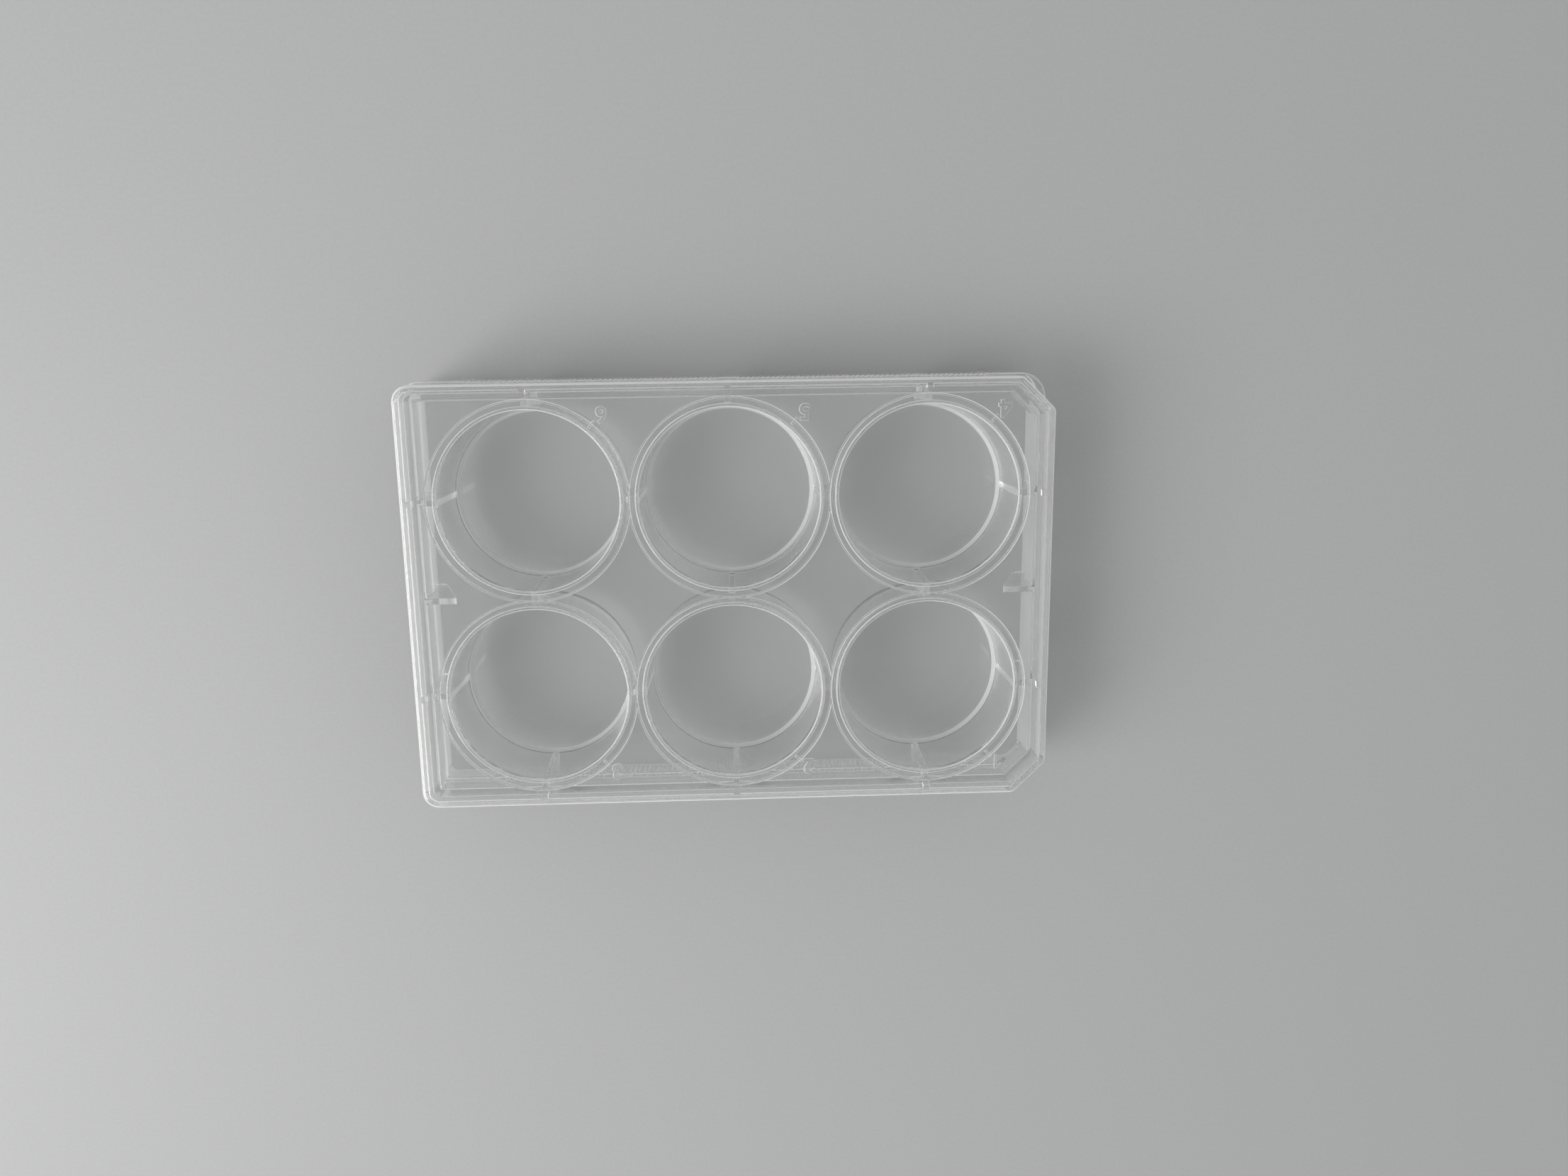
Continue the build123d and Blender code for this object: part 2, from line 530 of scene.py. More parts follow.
@dataclass(frozen=True)
class Well:
    """One well: a thin drafted wall with a raised lip and a flat floor."""

    mouth: float = 17.7 * MM
    draft: float = 0.3 * MM
    wall: float = 0.8 * MM
    depth: float = 16.7 * MM
    floor: float = 1.3 * MM
    floor_fillet: float = 1.2 * MM
    foot_round: float = 0.5 * MM
    lip_round: float = 0.37 * MM
    line_pitch: float = 1.5 * MM
    line_width: float = 0.16 * MM
    line_depth: float = 0.02 * MM
    lines: int = 10
    steps: int = 128

    @property
    def mid_wall(self) -> float:
        """Radius of the middle of its wall, halfway down."""
        return self.mouth - self.draft / 2 + self.wall / 2

    def bore_line(self, floor_level: float, lip_level: float) -> list[Corner]:
        """The bore's wall from lip to floor, with the fine lines left by the tool.

        Args:
            floor_level: Height of the well's floor.
            lip_level: Height of its lip.

        Returns:
            The corners of the line, without its two ends.
        """
        corners = []
        half = self.line_width / 2
        for i in range(self.lines):
            z = lip_level - self.line_pitch * (i + 1)
            share = (z - floor_level) / self.depth
            radius = self.mouth - self.draft * (1 - share)
            groove = Corner(radius + self.line_depth, z)
            corners += [Corner(radius, z + half), groove, Corner(radius, z - half)]
        return corners

    def cup(self, lip_level: float) -> Form:
        """The well's wall and floor.

        Args:
            lip_level: Height of the lip's top.

        Returns:
            The closed form, about its own axis.
        """
        floor_level = lip_level - self.depth
        foot_level = floor_level - self.floor
        narrow = self.mouth - self.draft
        corners = [
            Corner(0, foot_level),
            Corner(narrow + self.wall, foot_level, self.foot_round),
            Corner(self.mouth + self.wall, lip_level, self.lip_round),
            Corner(self.mouth, lip_level, self.lip_round),
            *self.bore_line(floor_level, lip_level),
            Corner(narrow, floor_level, self.floor_fillet),
            Corner(0, floor_level),
        ]
        return Form.turned(rounded_path(corners, closed=False), self.steps)

    def core(self, low: float, high: float) -> Form:
        """What the well clears out of the deck, up to the middle of its wall."""
        profile = [(0, low), (self.mid_wall, low), (self.mid_wall, high), (0, high)]
        return Form.turned(profile, self.steps)


def raised_form(curve: bpy.types.Curve) -> Form:
    """Turns a filled, extruded flat curve into a form centred on the origin.

    Args:
        curve: The curve, which is used up.

    Returns:
        The closed form.
    """
    drawn = bpy.data.objects.new("drawn", curve)
    bpy.context.scene.collection.objects.link(drawn)
    graph = bpy.context.evaluated_depsgraph_get()
    mesh = bpy.data.meshes.new_from_object(drawn.evaluated_get(graph))
    work = bmesh.new()
    work.from_mesh(mesh)
    bmesh.ops.remove_doubles(work, verts=work.verts, dist=WELD)
    lows = Vector([min(v.co[i] for v in work.verts) for i in range(3)])
    highs = Vector([max(v.co[i] for v in work.verts) for i in range(3)])
    centre = (lows + highs) / 2
    faces = [[v.index for v in face.verts] for face in work.faces]
    form = Form([v.co - centre for v in work.verts], faces)
    work.free()
    bpy.data.objects.remove(drawn)
    bpy.data.meshes.remove(mesh)
    bpy.data.curves.remove(curve)
    return form


@dataclass(frozen=True)
class NumberedWell:
    """A well's number and place, and the side its mark is on: 1 above it, -1 below."""

    digit: int
    x: float
    y: float
    up: int


@dataclass(frozen=True)
class WellMark:
    """A well's raised number and the pointer that ties it to the well's rim."""

    number_height: float = 3.2 * MM
    height_in_font: float = 0.73
    number_across: float = 14.8 * MM
    number_along: float = 16.5 * MM
    pointer_angle: float = math.radians(48.9)
    pointer_start: float = 18.7 * MM
    pointer_end: float = 20.5 * MM
    stroke: float = 0.55 * MM
    edge: float = 0.18 * MM
    rise: float = 0.3 * MM
    root: float = 0.2 * MM

    def moulded(self, curve: bpy.types.Curve, deck: float) -> Form:
        """A flat drawing stood up on the deck, with its edges rounded.

        Args:
            curve: The drawing, round the origin.
            deck: Height of the deck.

        Returns:
            The closed form.
        """
        curve.fill_mode = "BOTH"
        curve.bevel_depth = self.edge
        curve.bevel_resolution = 2
        curve.extrude = (self.rise + self.root) / 2 - self.edge
        lift = Matrix.Translation((0, 0, deck + (self.rise - self.root) / 2))
        return raised_form(curve).placed(lift)

    def outline(self, *loops: Sequence[Point], inset: float = 0.0) -> bpy.types.Curve:
        """A flat closed drawing.

        Args:
            loops: The outline, then the holes in it.
            inset: How far inside its outline it is drawn, to leave room for its edge.

        Returns:
            The curve.
        """
        curve = bpy.data.curves.new("outline", "CURVE")
        curve.dimensions = "2D"
        for points in loops:
            line = curve.splines.new("POLY")
            line.points.add(len(points) - 1)
            for point, (x, y) in zip(line.points, points):
                point.co = (x, y, 0, 1)
            line.use_cyclic_u = True
        curve.offset = -inset
        return curve

    def one(self) -> bpy.types.Curve:
        """Draws the numeral 1, a stem and a short flag.

        Returns:
            The curve.
        """
        tall, wide = self.number_height / 2, self.stroke / 2
        flag = 2 * self.stroke
        under, tip = tall - 0.75 * flag, tall - 1.2 * flag
        stem = [(wide, -tall), (wide, tall), (-wide / 2, tall)]
        slope = [(-flag, under), (-flag, tip), (-wide, under)]
        return self.outline([*stem, *slope, (-wide, -tall)], inset=self.edge)

    def four(self) -> bpy.types.Curve:
        """Draws the numeral 4, a stem, a bar and a slope round a blunt eye.

        Returns:
            The curve.
        """
        tall, stem = self.number_height / 2, self.stroke * 0.8
        right, tip, left = 0.75 * MM, 1.2 * MM, -1.2 * MM
        bar, eye_left, eye_slope, eye_top = -0.95 * MM, -0.58 * MM, 0.35 * MM, 0.25 * MM
        inner, bar_top = right - stem, bar + stem
        bar_end = [(right, bar), (tip, bar), (tip, bar_top), (right, bar_top)]
        slope = [(right, tall), (inner, tall), (left, bar_top), (left, bar), (inner, bar)]
        eye = [(inner, bar_top), (eye_left, bar_top)]
        eye += [(inner - eye_slope, eye_top), (inner, eye_top)]
        return self.outline([(right, -tall), *bar_end, *slope, (inner, -tall)], eye)

    def numeral(self, digit: int) -> bpy.types.Curve:
        """Draws any other numeral.

        Args:
            digit: The numeral.

        Returns:
            The curve.
        """
        curve = bpy.data.curves.new("numeral", "FONT")
        curve.body = str(digit)
        curve.size = self.number_height / self.height_in_font
        curve.resolution_u = 5
        return curve

    def number(self, well: NumberedWell, deck: float) -> Form:
        """A well's raised numeral, standing on the deck.

        Args:
            well: The well.
            deck: Height of the deck.

        Returns:
            The closed form.
        """
        drawn = {1: self.one, 4: self.four}
        curve = drawn[well.digit]() if well.digit in drawn else self.numeral(well.digit)
        middle = (well.x - self.number_across, well.y + well.up * self.number_along)
        return self.moulded(curve, deck).at(*middle)

    def pointer(self, well: NumberedWell, deck: float) -> Form:
        """The short raised bar between a well's rim and its number.

        Args:
            well: The well.
            deck: Height of the deck.

        Returns:
            The closed form.
        """
        long = (self.pointer_end - self.pointer_start) / 2
        half = self.stroke / 2
        corners = [(-long, -half), (long, -half), (long, half), (-long, half)]
        bar = self.outline(corners, inset=self.edge)
        out = Matrix.Translation(((self.pointer_start + self.pointer_end) / 2, 0, 0))
        turn = Matrix.Rotation(math.pi - well.up * self.pointer_angle, 4, "Z")
        return self.moulded(bar, deck).placed(turn @ out).at(well.x, well.y)


@dataclass(frozen=True)
class Levels:
    """The heights that the tray and the lid share, above the table."""

    rim_gap: ClassVar[float] = 0.4 * MM
    lip_height: ClassVar[float] = 0.7 * MM
    panel_thickness: ClassVar[float] = 1.2 * MM

    foot: float
    ledge: float
    deck: float
    lip: float
    panel: float
    top: float

    @classmethod
    def from_frame(cls) -> "Levels":
        """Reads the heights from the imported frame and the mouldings' own steps.

        Returns:
            The heights.
        """
        tray_low, tray_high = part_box("plate_base")
        lid_low, lid_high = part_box("lid")
        return cls(
            foot=tray_low.z,
            ledge=lid_low.z - cls.rim_gap,
            deck=tray_high.z - cls.lip_height,
            lip=tray_high.z,
            panel=lid_high.z - cls.panel_thickness,
            top=lid_high.z,
        )


def half_plan(node: str) -> Point:
    """Half the length and half the width of a CAD node's box."""
    low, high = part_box(node)
    return (high.x - low.x) / 2, (high.y - low.y) / 2


@dataclass
class Tray:
    """The tray: stepped frame, deck, wells, ribs, grips and raised marks, in one moulding."""

    levels: Levels
    grid: WellGrid = field(default_factory=WellGrid)
    well: Well = field(default_factory=Well)
    mark: WellMark = field(default_factory=WellMark)
    ledge_width: float = 1.98 * MM
    flange_wall: float = 1.3 * MM
    upper_wall: float = 1.3 * MM
    key_leg: float = 5.5 * MM
    key_round: float = 1.4 * MM
    corner_round: float = 1.7 * MM
    ledge_thickness: float = 1.3 * MM
    deck_thickness: float = 1.2 * MM
    foot_bevel: float = 0.15 * MM
    ledge_round: float = 0.5 * MM
    deck_round: float = 0.4 * MM
    inner_round: float = 0.4 * MM
    rib_thickness: float = 1.2 * MM
    rib_foot: float = 3.0 * MM
    gusset_top_reach: float = 6.1 * MM
    gusset_foot_reach: float = 2.6 * MM
    gusset_tip_round: float = 1.0 * MM

    def __post_init__(self) -> None:
        """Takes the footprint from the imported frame."""
        self.half_length, self.half_width = half_plan("plate_base")
        length, width = self.half_length - self.ledge_width, self.half_width - self.ledge_width
        self.upper = KeyedOutline(length, width, self.key_leg, self.key_round, self.corner_round)

    @property
    def shelf(self) -> float:
        """Height of the middle of the ledge's thickness, where what joins it ends."""
        return self.levels.ledge - self.ledge_thickness / 2

    @property
    def rib_top(self) -> float:
        """Height of the middle of the deck's thickness, where the ribs end."""
        return self.levels.deck - self.deck_thickness / 2

    def flange_block(self) -> Form:
        """Makes the flange with its grips, filled.

        Returns:
            The closed form.
        """
        outline = FlangeOutline(self.half_length, self.half_width, grips=GripRun())
        foot = self.levels.foot
        section = [(self.foot_bevel, foot), (0.0, foot + self.foot_bevel)]
        return outline.stack(section + top_round(0.0, self.levels.ledge, self.ledge_round))

    def upper_block(self) -> Form:
        """Makes the keyed block that stands on the flange, filled."""
        round_edge = top_round(0.0, self.levels.deck, self.deck_round)
        return self.upper.stack([(0.0, self.shelf), *round_edge])

    def hollows(self) -> list[Form]:
        """Makes the open underside, in a wide lower part and a keyed upper part.

        Returns:
            The two closed forms.
        """
        flange = FlangeOutline(self.half_length, self.half_width)
        step = self.levels.ledge - self.ledge_thickness
        ceiling = self.levels.deck - self.deck_thickness
        parts = (
            (flange, self.flange_wall, self.levels.foot, step),
            (self.upper, self.upper_wall, step, ceiling),
        )
        return [
            outline.stack([(wall, low - RUN_PAST), *top_round(wall, high, self.inner_round)])
            for outline, wall, low, high in parts
        ]

    def cores(self) -> Form:
        """Makes what the wells clear out of the deck."""
        low = self.levels.deck - 2 * self.deck_thickness
        return self.grid.spread(self.well.core(low, self.levels.lip + RUN_PAST))

    def cups(self) -> Form:
        """Makes the six wells."""
        return self.grid.spread(self.well.cup(self.levels.lip))

    def stepped_end(self, reach: float) -> list[Point]:
        """Lists where a rib ends inside the walls, from its foot up past the ledge's step.

        Args:
            reach: Half size of the flange in the rib's direction.

        Returns:
            The (distance, height) points.
        """
        flange_end = reach - self.flange_wall / 2
        upper_end = reach - self.ledge_width - self.upper_wall / 2
        step = [(flange_end, self.shelf), (upper_end, self.shelf)]
        return [(flange_end, self.rib_foot), *step, (upper_end, self.rib_top)]

    def wall_rib(self, along: float, reach: float) -> Form:
        """Makes a rib from a well to a wall, along +X.

        Args:
            along: Distance from the rib's own well axis to the plate's middle.
            reach: Half size of the flange in the rib's direction.

        Returns:
            The closed form, upright, in the XZ plane.
        """
        start = along + self.well.mid_wall
        low, high = (start, self.rib_foot), (start, self.rib_top)
        return self.upright([low, *self.stepped_end(reach), high])

    def upright(self, outline: Sequence[Point]) -> Form:
        """Makes a plate of rib thickness from an outline in the XZ plane."""
        plate = Form.prism(outline, -self.rib_thickness / 2, self.rib_thickness / 2)
        return plate.placed(Matrix.Rotation(math.pi / 2, 4, "X"))

    def gusset(self) -> Form:
        """Makes the slanting gusset at the middle of the +X side.

        Returns:
            The closed form.
        """
        tip = self.upper.half_length - self.upper_wall - self.gusset_top_reach
        foot = self.half_length - self.flange_wall - self.gusset_foot_reach
        corners = [Corner(a, b) for a, b in self.stepped_end(self.half_length)]
        corners += [Corner(tip, self.rib_top), Corner(tip, self.levels.deck - self.deck_thickness)]
        corners.append(Corner(foot, self.rib_foot, self.gusset_tip_round))
        return self.upright(rounded_path(corners, closed=True))

    def neighbour_ribs(self) -> list[Form]:
        """Makes the short ribs between neighbouring wells.

        Returns:
            The ribs along the rows, then those across them.
        """
        half = self.grid.pitch / 2 - self.well.mid_wall
        thick = self.rib_thickness / 2
        along = Form.block((-half, -thick, self.rib_foot), (half, thick, self.rib_top))
        across = Form.block((-thick, -half, self.rib_foot), (thick, half, self.rib_top))
        mids_x = self.grid.places(self.grid.columns - 1)
        mids_y = self.grid.places(self.grid.rows - 1)
        ribs = [along.at(x, y) for x in mids_x for y in self.grid.ys]
        return ribs + [across.at(x, y) for x in self.grid.xs for y in mids_y]

    def ribs(self) -> Form:
        """Makes every rib and gusset under the deck.

        Returns:
            The closed forms, which don't touch, as one.
        """
        end_rib = self.wall_rib(self.grid.xs[-1], self.half_length)
        side_rib = self.wall_rib(self.grid.ys[-1], self.half_width)
        ribs = self.neighbour_ribs()
        for end in End:
            facing = Matrix.Rotation(0.0 if end is End.SQUARE else math.pi, 4, "Z")
            ribs.append(self.gusset().placed(facing))
            for y in self.grid.ys:
                ribs.append(end_rib.placed(facing).at(0, y))
        for quarter in (1, -1):
            facing = Matrix.Rotation(quarter * math.pi / 2, 4, "Z")
            for x in self.grid.xs:
                ribs.append(side_rib.placed(facing).at(x, 0))
        return Form.together(ribs)

    def numbered_wells(self) -> list[NumberedWell]:
        """Numbers the wells, 1 to 3 along the upper row and 4 to 6 along the lower.

        Returns:
            The six wells.
        """
        upper = [NumberedWell(i + 1, x, self.grid.ys[1], 1) for i, x in enumerate(self.grid.xs)]
        lower = [NumberedWell(i + 4, x, self.grid.ys[0], -1) for i, x in enumerate(self.grid.xs)]
        return upper + lower

    def numbers(self) -> Form:
        """Makes the raised numbers."""
        deck = self.levels.deck
        return Form.together(self.mark.number(well, deck) for well in self.numbered_wells())

    def pointers(self) -> Form:
        """Makes the raised bars between the wells' rims and their numbers."""
        deck = self.levels.deck
        return Form.together(self.mark.pointer(well, deck) for well in self.numbered_wells())

    def build(self) -> bpy.types.Object:
        """Moulds the tray as one closed solid.

        Returns:
            The tray's object.
        """
        solid = combine(
            "tray",
            self.flange_block(),
            [
                (Join.ADD, self.upper_block()),
                *[(Join.CUT, hollow) for hollow in self.hollows()],
                (Join.CUT, self.cores()),
                (Join.ADD, self.ribs()),
                (Join.ADD, self.cups()),
                (Join.ADD, self.numbers()),
                (Join.ADD, self.pointers()),
            ],
        )
        smooth(solid)
        return solid


@dataclass
class Lid:
    """The lid: a keyed panel and skirt with its spacers and condensation rings."""

    levels: Levels
    grid: WellGrid = field(default_factory=WellGrid)
    well: Well = field(default_factory=Well)
    skirt: float = 1.1 * MM
    key_leg: float = 6.44 * MM
    key_round: float = 1.4 * MM
    corner_round: float = 3.3 * MM
    edge_round: float = 0.8 * MM
    inner_round: float = 0.35 * MM
    foot_round: float = 0.25 * MM
    spacer_thickness: float = 1.25 * MM
    spacer_reach: float = 1.0 * MM
    spacer_lift: float = 0.02 * MM
    ring_clearance: float = 0.9 * MM
    ring_wall: float = 0.45 * MM
    ring_depth: float = 0.7 * MM
    ring_round: float = 0.22 * MM

    def __post_init__(self) -> None:
        """Takes the lid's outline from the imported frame."""
        self.rim_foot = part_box("lid")[0].z
        length, width = half_plan("lid")
        self.outline = KeyedOutline(length, width, self.key_leg, self.key_round, self.corner_round)

    @property
    def mid_panel(self) -> float:
        """Height of the middle of the panel's thickness, where what hangs from it starts."""
        return (self.levels.panel + self.levels.top) / 2

    def shell(self) -> Form:
        """Makes the panel and its skirt.

        Returns:
            The closed form.
        """
        corners = [
            Corner(self.skirt + self.inner_round, self.levels.panel),
            Corner(self.skirt, self.levels.panel, self.inner_round),
            Corner(self.skirt, self.rim_foot, self.foot_round),
            Corner(0.0, self.rim_foot, self.foot_round),
            Corner(0.0, self.levels.top, self.edge_round),
            Corner(2 * self.edge_round, self.levels.top),
        ]
        return self.outline.stack(rounded_path(corners, closed=False))

    def spacers(self) -> Form:
        """Makes the ten small webs in the corner between panel and skirt.

        Returns:
            The closed forms as one.
        """
        low, high = self.levels.deck + self.spacer_lift, self.mid_panel
        thick = self.spacer_thickness / 2
        x = self.outline.half_length - self.skirt
        y = self.outline.half_width - self.skirt
        reach, bite = self.spacer_reach, self.skirt / 2
        end = Form.block((x - reach, -thick, low), (x + bite, thick, high))
        side = Form.block((-thick, y - reach, low), (thick, y + bite, high))
        turns = [Matrix.Rotation(angle, 4, "Z") for angle in (0.0, math.pi)]
        webs = [end.placed(turn).at(0, across) for turn in turns for across in self.grid.ys]
        webs += [side.placed(turn).at(along, 0) for turn in turns for along in self.grid.xs]
        return Form.together(webs)

    def rings(self) -> Form:
        """Makes the condensation rings, joined where neighbours meet.

        Returns:
            The closed form of all six.
        """
        inner = self.well.mouth + self.well.wall + self.ring_clearance
        outer = inner + self.ring_wall
        low, high = self.levels.panel - self.ring_depth, self.mid_panel
        steps = self.well.steps
        below, above = low - self.ring_depth, high + self.ring_depth
        outside = [Corner(0, low), Corner(outer, low, self.ring_round)]
        outside += [Corner(outer, high), Corner(0, high)]
        inside = [Corner(0, below), Corner(outer, below), Corner(outer, low)]
        inside += [Corner(inner, low, self.ring_round), Corner(inner, above), Corner(0, above)]
        disc = Form.turned(rounded_path(outside, closed=False), steps)
        hole = Form.turned(rounded_path(inside, closed=False), steps)
        discs = [disc.at(x, y) for x in self.grid.xs for y in self.grid.ys]
        adds = [(Join.ADD, form) for form in discs[1:]]
        joined = combine("rings", discs[0], [*adds, (Join.CUT, self.grid.spread(hole))])
        return Form.taken_back(joined)

    def build(self) -> bpy.types.Object:
        """Moulds the lid as one closed solid.

        Returns:
            The lid's object.
        """
        hung = [(Join.ADD, self.spacers()), (Join.ADD, self.rings())]
        solid = combine("cover", self.shell(), hung)
        smooth(solid)
        return solid


@dataclass
class Shader:
    """A node tree under construction, with short ways to add nodes and join them."""

    tree: bpy.types.NodeTree

    @classmethod
    def blank(cls, owner: bpy.types.Material | bpy.types.World) -> "Shader":
        """Starts an empty tree.

        Args:
            owner: The material or world that it belongs to.

        Returns:
            The tree's shader.
        """
        owner.use_nodes = True
        owner.node_tree.nodes.clear()
        return cls(owner.node_tree)

    def add(self, kind: str, **settings: object) -> bpy.types.Node:
        """Adds a node.

        Args:
            kind: The node's type.
            settings: Values by input name, with _ for a space, or a socket to link.

        Returns:
            The new node.
        """
        node = self.tree.nodes.new(kind)
        for name, value in settings.items():
            slot = node.inputs[name.replace("_", " ")]
            if isinstance(value, Socket):
                self.tree.links.new(value, slot)
            else:
                slot.default_value = value
        return node

    def sum(self, kind: Sum, *values: Socket) -> Socket:
        """Works out one sum.

        Args:
            kind: Which sum.
            values: What goes into it.

        Returns:
            The result.
        """
        node = self.add("ShaderNodeMath")
        node.operation = kind.value
        for slot, value in zip(node.inputs, values):
            self.tree.links.new(value, slot)
        return node.outputs["Value"]

    def mixed(self, share: object, first: Socket, second: Socket) -> Socket:
        """Mixes two surfaces.

        Args:
            share: How much of the second, as a number or a socket.
            first: One surface.
            second: The other.

        Returns:
            The mixed surface.
        """
        node = self.add("ShaderNodeMixShader", Fac=share)
        for slot, surface in zip(node.inputs[1:], (first, second)):
            self.tree.links.new(surface, slot)
        return node.outputs["Shader"]

    def remap(self, value: Socket, span: Point, low: object, high: object) -> Socket:
        """Moves smoothly from one value to another.

        Args:
            value: What steers it.
            span: Where the change starts and ends.
            low: The result below the span, as a number or a socket.
            high: The result above it.

        Returns:
            The result.
        """
        start, end = span
        node = self.add(
            "ShaderNodeMapRange", Value=value, From_Min=start, From_Max=end, To_Min=low, To_Max=high
        )
        node.interpolation_type = "SMOOTHSTEP"
        return node.outputs["Result"]


@dataclass(frozen=True)
class Skin:
    """A quality of the moulding's skin, such as roughness, on each kind of face."""

    level: float
    side_wall: float
    end_wall: float
    edge: float


@dataclass(frozen=True)
class ClearPolystyrene:
    """Clear colourless polystyrene: polished flats, drawn walls and softer edge rounds."""

    name: str
    index: float = 1.59
    clarity: float = 0.985
    rough: Skin = Skin(level=0.01, side_wall=0.12, end_wall=0.3, edge=0.4)
    backlit: float = 0.42
    frost: Skin = Skin(level=0.0, side_wall=0.12, end_wall=0.3, edge=1.0)
    tint: tuple[float, float, float] = (0.985, 0.99, 0.99)
    flat_shadow: float = 0.985
    wall_shadow: float = 0.79
    ripple: float = 0.015
    square_span: Point = (0.9985, 0.9995)
    shadow_span: Point = (0.2, 0.8)
    slope_span: Point = (0.06, 0.3)
    level_span: Point = (0.85, 0.97)

    def material(self) -> bpy.types.Material:
        """Builds the material.

        Returns:
            A transmissive material whose shadows stay clear.
        """
        made = bpy.data.materials.new(self.name)
        shader = Shader.blank(made)
        tint = (*self.tint, 1.0)
        where = shader.add("ShaderNodeTexCoord").outputs["Object"]
        facing = shader.add("ShaderNodeNewGeometry").outputs["Normal"]
        normal = shader.add("ShaderNodeSeparateXYZ", Vector=facing)
        flat = shader.sum(Sum.SIZE, normal.outputs["Z"])
        along = shader.sum(Sum.SIZE, normal.outputs["X"])
        square = shader.remap(along, self.square_span, 0.0, 1.0)
        skin = shader.add("ShaderNodeTexNoise", Vector=where, Scale=60.0, Detail=1.0)
        bump = shader.add(
            "ShaderNodeBump", Height=skin.outputs["Fac"], Strength=self.ripple, Distance=0.2 * MM
        )
        plastic = shader.add(
            "ShaderNodeBsdfPrincipled",
            Base_Color=tint,
            Roughness=self.spread(shader, self.rough, flat, square),
            IOR=self.index,
            Transmission_Weight=self.clarity,
            Normal=bump.outputs["Normal"],
        )
        lit = shader.add("ShaderNodeBsdfDiffuse", Color=tint)
        backlit = shader.add("ShaderNodeBsdfTranslucent", Color=tint)
        haze = shader.mixed(self.backlit, lit.outputs["BSDF"], backlit.outputs["BSDF"])
        share = self.spread(shader, self.frost, flat, square)
        body = shader.mixed(share, plastic.outputs["BSDF"], haze)
        shade = shader.remap(flat, self.shadow_span, self.wall_shadow, self.flat_shadow)
        clear = shader.add("ShaderNodeBsdfTransparent", Color=shade)
        path = shader.add("ShaderNodeLightPath").outputs
        passing = shader.sum(Sum.GREATEST, path["Is Shadow Ray"], path["Is Diffuse Ray"])
        seen = shader.mixed(passing, body, clear.outputs["BSDF"])
        shader.add("ShaderNodeOutputMaterial", Surface=seen)
        return made

    def spread(self, shader: Shader, skin: Skin, flat: Socket, square: Socket) -> Socket:
        """Spreads a quality over the moulding by the way its skin faces.

        Args:
            shader: The material.
            skin: The quality on each kind of face.
            flat: 1 where the skin lies level, 0 where it stands upright.
            square: 1 on the end walls and the ribs.

        Returns:
            The quality.
        """
        wall = shader.remap(square, (0.0, 1.0), skin.side_wall, skin.end_wall)
        sloped = shader.remap(flat, self.slope_span, wall, skin.edge)
        return shader.remap(flat, self.level_span, sloped, skin.level)


@dataclass(frozen=True)
class TableTop:
    """A matt grey bench top with a fine grain."""

    colour: tuple[float, float, float] = (0.435, 0.440, 0.442)
    half_size: float = 2.5

    def material(self) -> bpy.types.Material:
        """Builds the bench's material.

        Returns:
            A matt grey with a grain in its shade and its surface.
        """
        made = bpy.data.materials.new("bench_grey")
        shader = Shader.blank(made)
        where = shader.add("ShaderNodeTexCoord").outputs["Object"]
        noise = shader.add("ShaderNodeTexNoise", Vector=where, Scale=1400.0, Detail=2.0)
        grain = noise.outputs["Fac"]
        paint = (*self.colour, 1.0)
        shade = shader.add("ShaderNodeMixRGB", Fac=0.10, Color1=paint, Color2=grain)
        shade.blend_type = "MULTIPLY"
        bump = shader.add("ShaderNodeBump", Height=grain, Strength=0.12, Distance=0.1 * MM)
        matt = shader.add(
            "ShaderNodeBsdfPrincipled",
            Base_Color=shade.outputs["Color"],
            Roughness=0.62,
            Normal=bump.outputs["Normal"],
        )
        shader.add("ShaderNodeOutputMaterial", Surface=matt.outputs["BSDF"])
        return made

    def build(self) -> None:
        """Lays the bench under the plate."""
        size = self.half_size
        corners = [(-size, -size, 0), (size, -size, 0), (size, size, 0), (-size, size, 0)]
        bench = Form([Vector(c) for c in corners], [[0, 1, 2, 3]]).to_object("bench")
        bench.data.materials.append(self.material())


@dataclass(frozen=True)
class SoftLight:
    """One rectangular soft light."""

    name: str
    place: tuple[float, float, float]
    width: float
    height: float
    power: float
    colour: tuple[float, float, float]

    def build(self) -> None:
        """Hangs the light, aimed at the plate."""
        lamp = bpy.data.lights.new(self.name, "AREA")
        lamp.shape = "RECTANGLE"
        lamp.size = self.width
        lamp.size_y = self.height
        lamp.energy = self.power
        lamp.color = self.colour
        hung = bpy.data.objects.new(self.name, lamp)
        hung.location = self.place
        hung.rotation_euler = (-Vector(self.place)).to_track_quat("-Z", "Y").to_euler()
        bpy.context.scene.collection.objects.link(hung)


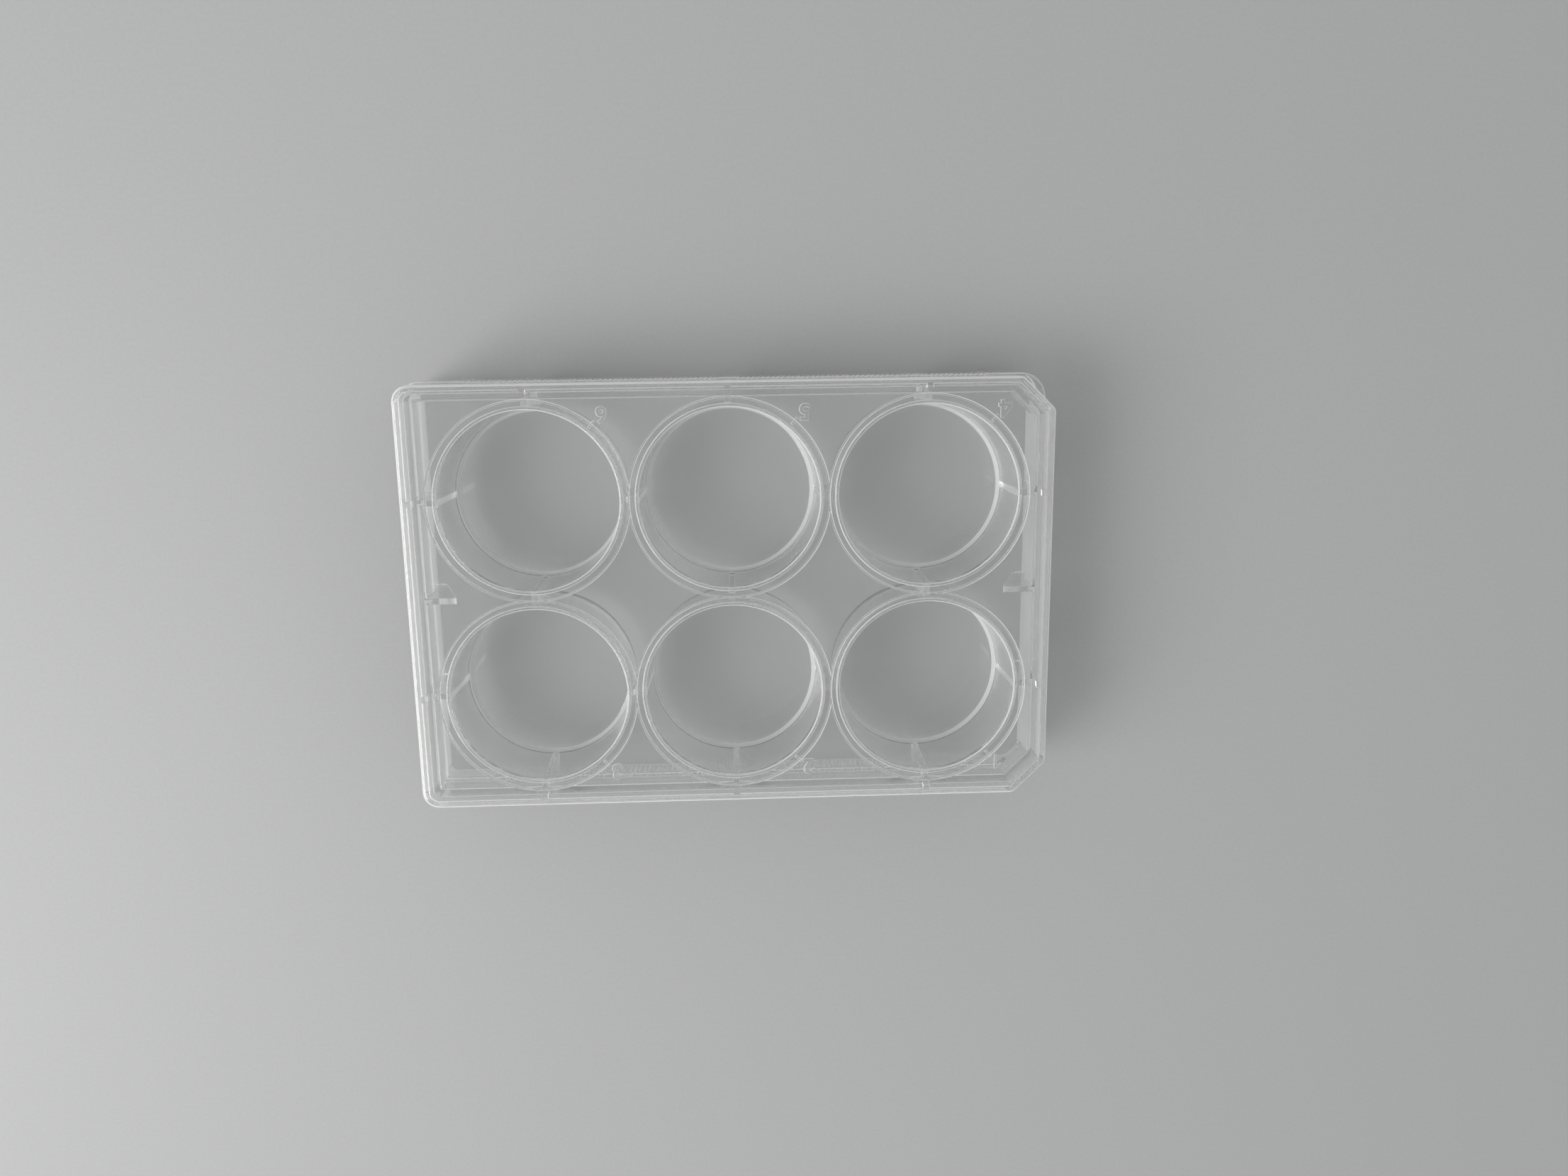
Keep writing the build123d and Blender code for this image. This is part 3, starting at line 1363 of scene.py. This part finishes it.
@dataclass
class Studio:
    """The bench, the soft daylight, the room and the camera."""

    window: SoftLight = SoftLight(
        "window", (0.85, 0.30, 0.70), 0.7, 0.7, 12.0, (1.0, 0.995, 0.985)
    )
    ambient: float = 0.70
    overhead: float = 0.40
    ceiling_span: Point = (0.45, 0.92)
    camera_place: tuple[float, float, float] = (-2.48 * MM, -47.82 * MM, 246.17 * MM)
    camera_turn: tuple[float, float, float] = (-0.20171, -0.03783, math.pi - 0.0143)
    lens: float = 26.66
    sensor_width: float = 36.0

    def build(self) -> None:
        """Sets the stage round the plate."""
        TableTop().build()
        self.window.build()
        self.light_room()
        self.set_camera()

    def light_room(self) -> None:
        """Gives the room white walls and a dim ceiling, where the one taking the view stands."""
        scene = bpy.context.scene
        scene.world = bpy.data.worlds.new("room")
        room = Shader.blank(scene.world)
        where = room.add("ShaderNodeTexCoord").outputs["Generated"]
        height = room.add("ShaderNodeSeparateXYZ", Vector=where).outputs["Z"]
        shade = room.add("ShaderNodeValToRGB", Fac=height)
        shade.color_ramp.interpolation = "EASE"
        tones = zip(shade.color_ramp.elements, self.ceiling_span, (1.0, self.overhead))
        for stop, place, tone in tones:
            stop.position = place
            stop.color = (tone, tone, tone, 1.0)
        path = room.add("ShaderNodeLightPath").outputs
        seen = path["Is Camera Ray"]
        for kind in ("Is Glossy Ray", "Is Transmission Ray"):
            seen = room.sum(Sum.GREATEST, seen, path[kind])
        strength = room.add("ShaderNodeMapRange", Value=seen, To_Min=self.ambient).outputs["Result"]
        light = room.add("ShaderNodeBackground", Color=shade.outputs["Color"], Strength=strength)
        room.add("ShaderNodeOutputWorld", Surface=light.outputs["Background"])
        scene.view_settings.view_transform = "Standard"

    def set_camera(self) -> None:
        """Stands the camera over the plate."""
        scene = bpy.context.scene
        lens = bpy.data.cameras.new("camera")
        lens.lens = self.lens
        lens.sensor_width = self.sensor_width
        lens.clip_start = 10.0 * MM
        camera = bpy.data.objects.new("camera", lens)
        camera.location = self.camera_place
        camera.rotation_euler = self.camera_turn
        scene.collection.objects.link(camera)
        scene.camera = camera


def pass_clear_walls() -> None:
    """Lets light pass through as many clear walls as the plate stacks up."""
    cycles = bpy.context.scene.cycles
    cycles.max_bounces = 32
    cycles.transmission_bounces = 32
    cycles.glossy_bounces = 8
    cycles.transparent_max_bounces = 48


def dress(piece: bpy.types.Object, node: str, finish: ClearPolystyrene) -> None:
    """Gives a moulding its finish and ties it to the part.

    Args:
        piece: The moulding.
        node: The CAD node that it stands for.
        finish: Its finish.
    """
    piece.data.materials.clear()
    piece.data.materials.append(finish.material())
    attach(piece, BODY)
    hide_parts(node)


def main() -> None:
    """Builds the plate and its stage, in order."""
    logging.basicConfig(level=logging.INFO)
    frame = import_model()
    log.info("frame loaded with nodes %s", sorted(frame["nodes"]))
    levels = Levels.from_frame()
    for moulding, node, slot in (
        (Tray(levels), "plate_base", "clear_tray"),
        (Lid(levels), "lid", "clear_lid"),
    ):
        piece = moulding.build()
        dress(piece, node, ClearPolystyrene(slot))
        log.info("%s: %d faces", piece.name, len(piece.data.polygons))
    Studio().build()
    pass_clear_walls()
    log.info("sizes written")


if __name__ == "__main__":
    main()
